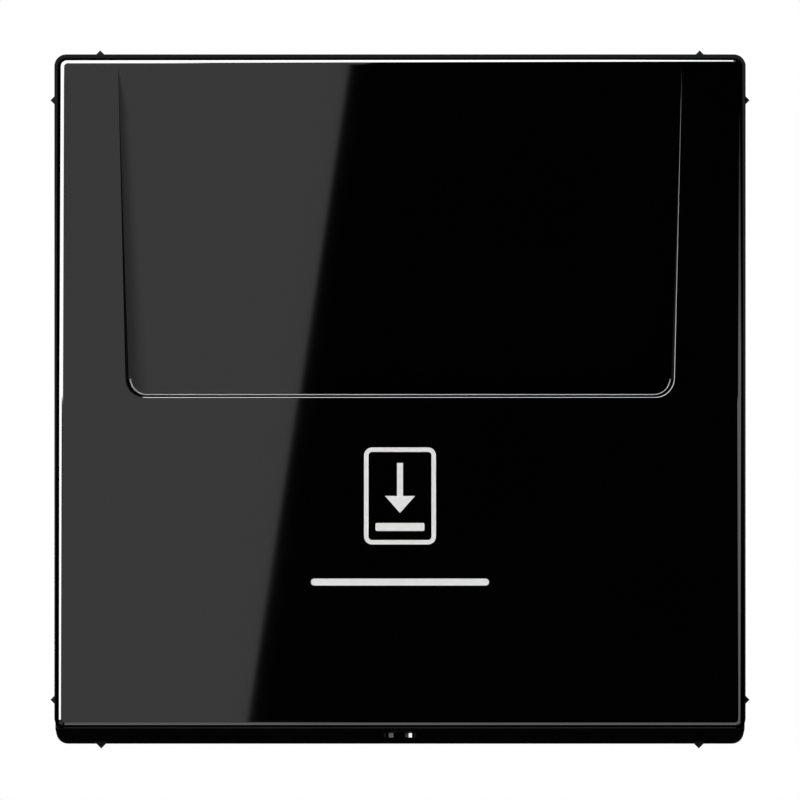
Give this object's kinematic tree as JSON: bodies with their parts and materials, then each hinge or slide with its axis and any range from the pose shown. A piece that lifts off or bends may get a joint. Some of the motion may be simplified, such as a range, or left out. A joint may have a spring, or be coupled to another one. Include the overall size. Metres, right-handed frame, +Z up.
{
  "type": "key card switch",
  "caption": "Square wall key card switch: gloss black wedge-shaped cover with a card pocket and slot, sprung card lever, lit foot and a flush switch insert with clamp terminals.",
  "frame": {"origin": "middle of the two box screw slots, on the back face of the support ring, which lies on the wall", "axes": "+Z up, +X to the viewer's right, the front looks along -Y and +Y goes into the wall"},
  "size_m": [0.071, 0.0404, 0.071],
  "materials": {
    "gloss_black": "high gloss",
    "matte_black": "fine satin",
    "lever_grey": "satin",
    "zinc_steel": "zinc plated",
    "insert_white": "satin",
    "insert_grey": "satin",
    "copper_strip": "bright strip",
    "contact_silver": "bright",
    "spring_steel": "bright wire",
    "key_orange": "satin",
    "clear_plastic": "clear"
  },
  "bodies": {
    "base": {"front_cover": "gloss_black", "carrier": "matte_black", "light_guide": "clear_plastic", "lever_pins": "zinc_steel", "support_ring": "zinc_steel", "ring_rivets": "zinc_steel", "insert_tray": "insert_white", "return_springs": "spring_steel", "contact_pin": "zinc_steel", "fixed_contact": "contact_silver", "line_terminal": "copper_strip", "load_terminal": "copper_strip", "neutral_terminal": "copper_strip", "line_clamp_spring": "spring_steel", "load_clamp_spring": "spring_steel", "neutral_clamp_spring": "spring_steel", "insert_housing": "insert_grey", "terminal_cover": "insert_grey", "housing_screws": "zinc_steel", "lamp_holder": "insert_grey", "lamp": "clear_plastic", "lamp_leads": "zinc_steel"},
    "card_lever": {"card_lever": "lever_grey"},
    "rocker": {"switch_rocker": "insert_white"},
    "contact": {"contact_arm": "copper_strip", "moving_contact": "contact_silver"},
    "line_key": {"line_release_key": "key_orange"},
    "load_key": {"load_release_key": "key_orange"},
    "neutral_key": {"neutral_release_key": "key_orange"}
  },
  "joints": [
    {"name": "card_lever_pivot", "type": "hinge", "parent": "base", "child": "card_lever", "pos_m": [0, -0.00531, -0.0275], "axis": [-1, 0, 0], "range_deg": [0, 4.9], "stiffness_Nm_per_rad": 0.1, "springref_deg": -8.59},
    {"name": "rocker_pivot", "type": "hinge", "parent": "base", "child": "rocker", "pos_m": [0, -0.0016, 0.012], "axis": [1, 0, 0], "range_deg": [0, 2.4], "deforming": ["return_springs"]},
    {"name": "contact_pivot", "type": "hinge", "parent": "base", "child": "contact", "pos_m": [0, 0.0058, 0.004], "axis": [1, 0, 0], "range_deg": [0, 3.67]},
    {"name": "line_key_slide", "type": "slide", "parent": "base", "child": "line_key", "axis": [0, -1, 0], "range_m": [0, 0.0012], "stiffness_N_per_m": 300, "springref_m": -0.001, "deforming": ["line_clamp_spring"]},
    {"name": "load_key_slide", "type": "slide", "parent": "base", "child": "load_key", "axis": [0, -1, 0], "range_m": [0, 0.0012], "stiffness_N_per_m": 300, "springref_m": -0.001, "deforming": ["load_clamp_spring"]},
    {"name": "neutral_key_slide", "type": "slide", "parent": "base", "child": "neutral_key", "axis": [0, -1, 0], "range_m": [0, 0.0012], "stiffness_N_per_m": 300, "springref_m": -0.001, "deforming": ["neutral_clamp_spring"]}
  ],
  "couplings": [
    {"joint": "rocker_pivot", "follows": "card_lever_pivot", "ratio": 0.49},
    {"joint": "contact_pivot", "follows": "card_lever_pivot", "ratio": 0.75}
  ]
}
